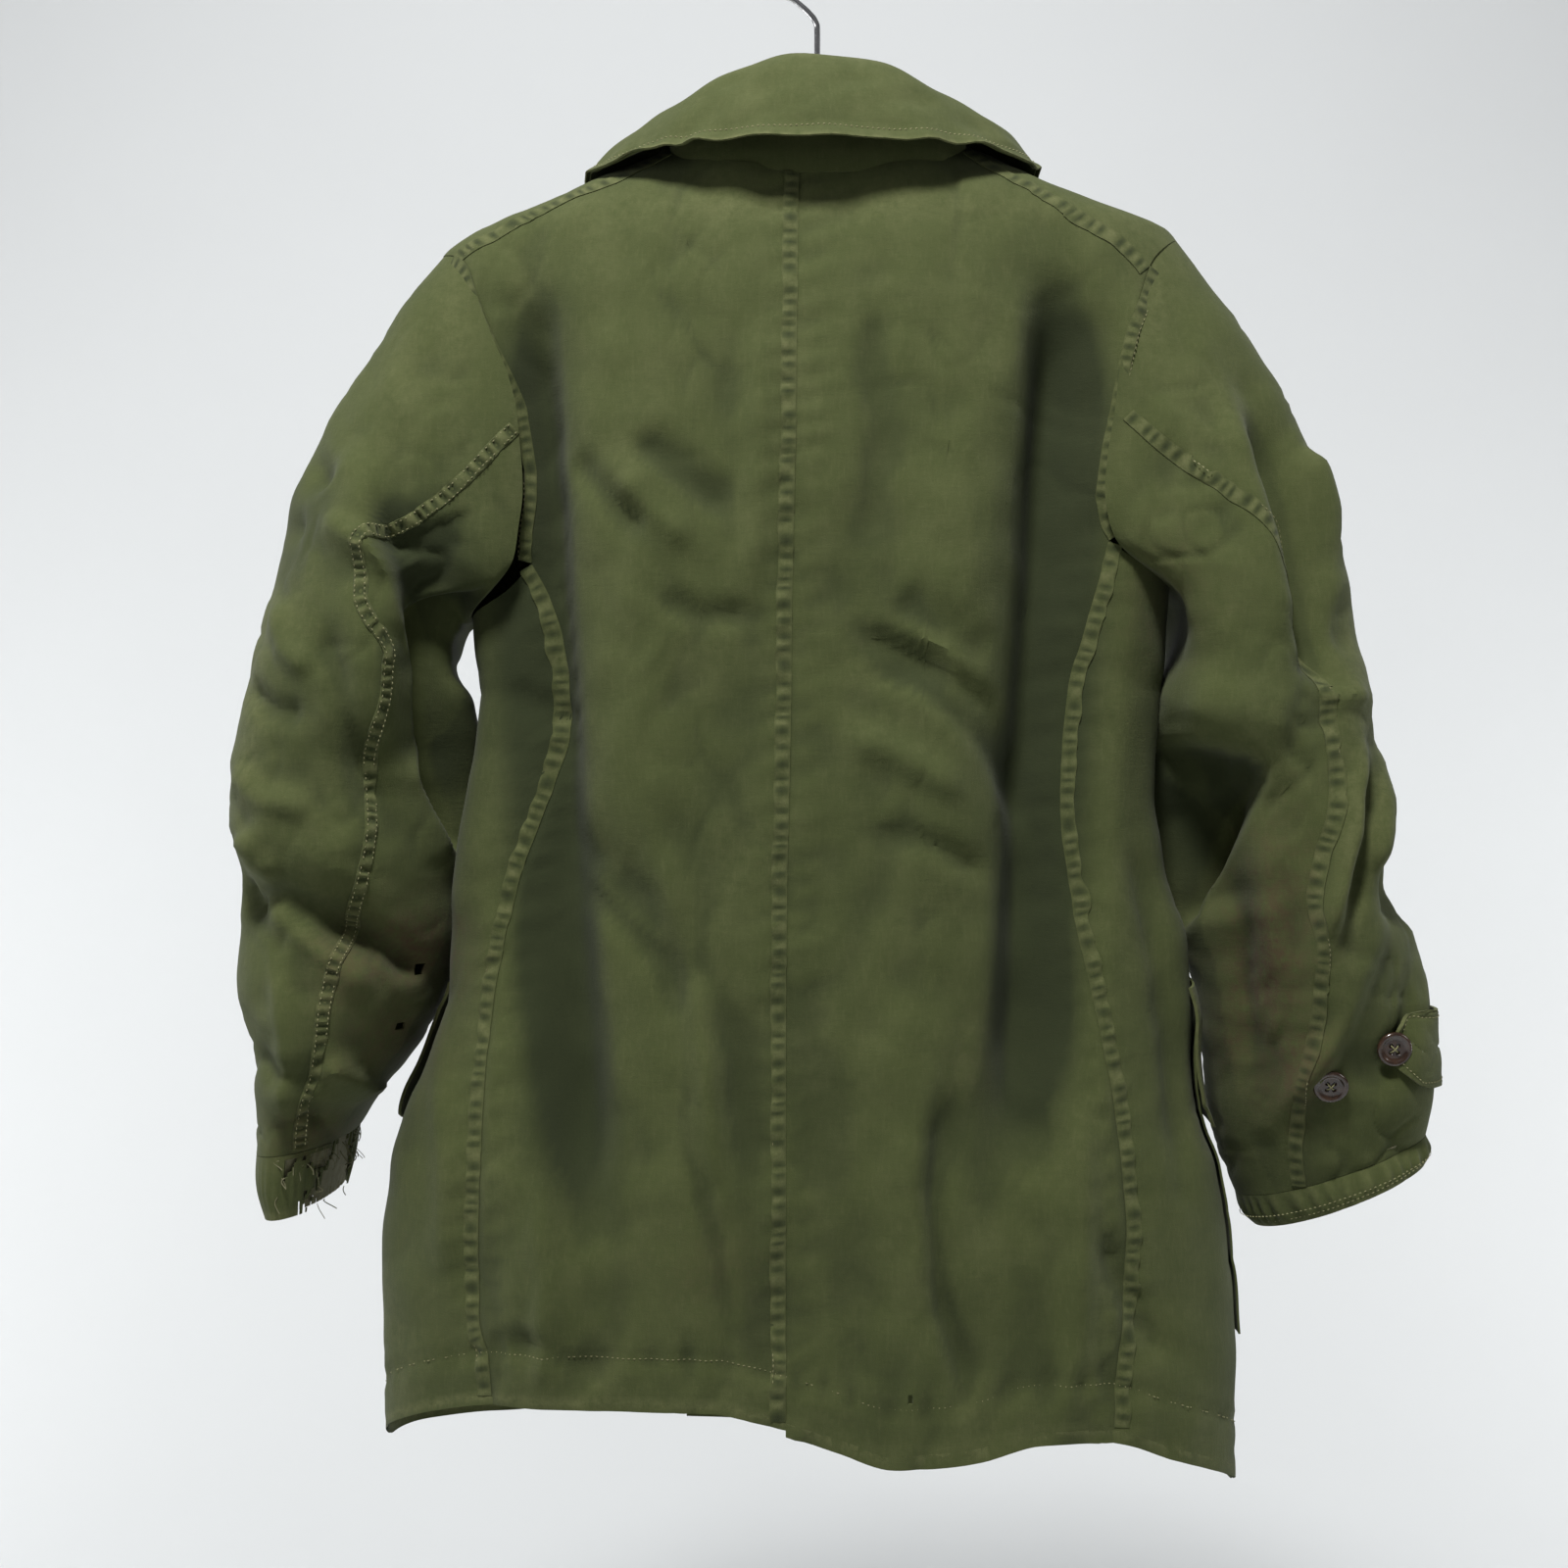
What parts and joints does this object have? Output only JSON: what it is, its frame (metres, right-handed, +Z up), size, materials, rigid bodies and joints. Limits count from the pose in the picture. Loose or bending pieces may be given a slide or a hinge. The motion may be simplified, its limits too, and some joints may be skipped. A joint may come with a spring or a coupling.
{
  "type": "mackinaw coat on a hanger",
  "caption": "Hip-length double-breasted cotton mackinaw coat with a wide folded collar, patch pockets and a strapped cuff, hanging on a plain hanger with a wire hook.",
  "frame": {"origin": "inside top of the wire hook's loop, the point where the hanger bears on its rail", "axes": "+Z up along the hanging direction, -Y out of the coat's front, +Y out of its back, +X to the wearer's left"},
  "size_m": [0.7594, 0.191, 0.9735],
  "materials": {
    "olive_cotton": "worn, faded cotton duck, matt",
    "cuff_lining_cotton": "frayed plain cotton, matt",
    "button_brown": "polished",
    "chrome_wire": "bright drawn wire",
    "hanger_wood": "satin varnish"
  },
  "bodies": {
    "root": {"back_left": "olive_cotton", "back_right": "olive_cotton", "front_left": "olive_cotton", "front_right": "olive_cotton", "sleeve_upper_left": "olive_cotton", "sleeve_under_left": "olive_cotton", "sleeve_upper_right": "olive_cotton", "sleeve_under_right": "olive_cotton", "cuff_left": "olive_cotton", "cuff_right": "olive_cotton", "cuff_lining_left": "cuff_lining_cotton", "cuff_lining_right": "cuff_lining_cotton", "cuff_tab_right": "olive_cotton", "collar_upper": "olive_cotton", "collar_under": "olive_cotton", "pocket_left": "olive_cotton", "pocket_right": "olive_cotton", "flap_left": "olive_cotton", "flap_right": "olive_cotton", "button_tab_right": "button_brown", "button_cuff_right": "button_brown", "button_front_left_1": "button_brown", "button_front_left_2": "button_brown", "button_front_left_3": "button_brown", "button_front_right_1": "button_brown", "button_front_right_2": "button_brown", "button_front_right_3": "button_brown", "hanger_body": "hanger_wood", "hanger_hook": "chrome_wire"}
  },
  "joints": []
}
